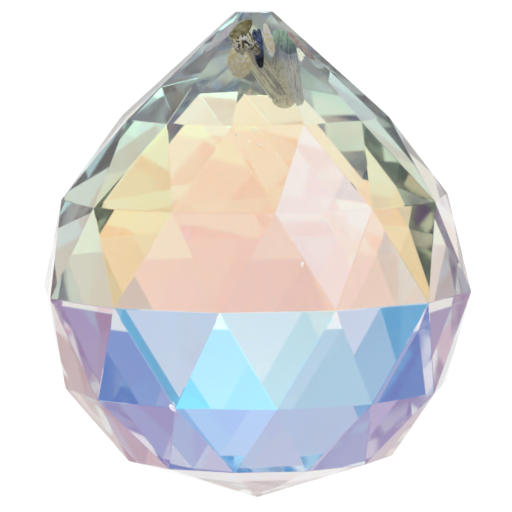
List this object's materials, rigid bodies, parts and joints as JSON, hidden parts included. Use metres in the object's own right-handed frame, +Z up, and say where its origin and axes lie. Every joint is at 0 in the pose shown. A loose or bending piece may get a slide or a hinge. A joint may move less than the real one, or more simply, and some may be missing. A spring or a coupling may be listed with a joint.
{
  "type": "crystal suncatcher",
  "caption": "Faceted coated glass ball with a conical top and a drilled V-shaped hanging hole; hung in a window it throws coloured light.",
  "frame": {"origin": "on the ball's axis, level with the two mouths of the hanging hole", "axes": "+Z up along the ball's axis, -Y to the front, midway between the two mouths of the hanging hole"},
  "size_m": [0.0386, 0.0386, 0.0451],
  "materials": {
    "coated_crystal": "cut and polished clear crystal under a thin pearly rainbow coating; the drilled hole is ground and matt"
  },
  "bodies": {
    "root": {"crystal_ball": "coated_crystal"}
  },
  "joints": []
}
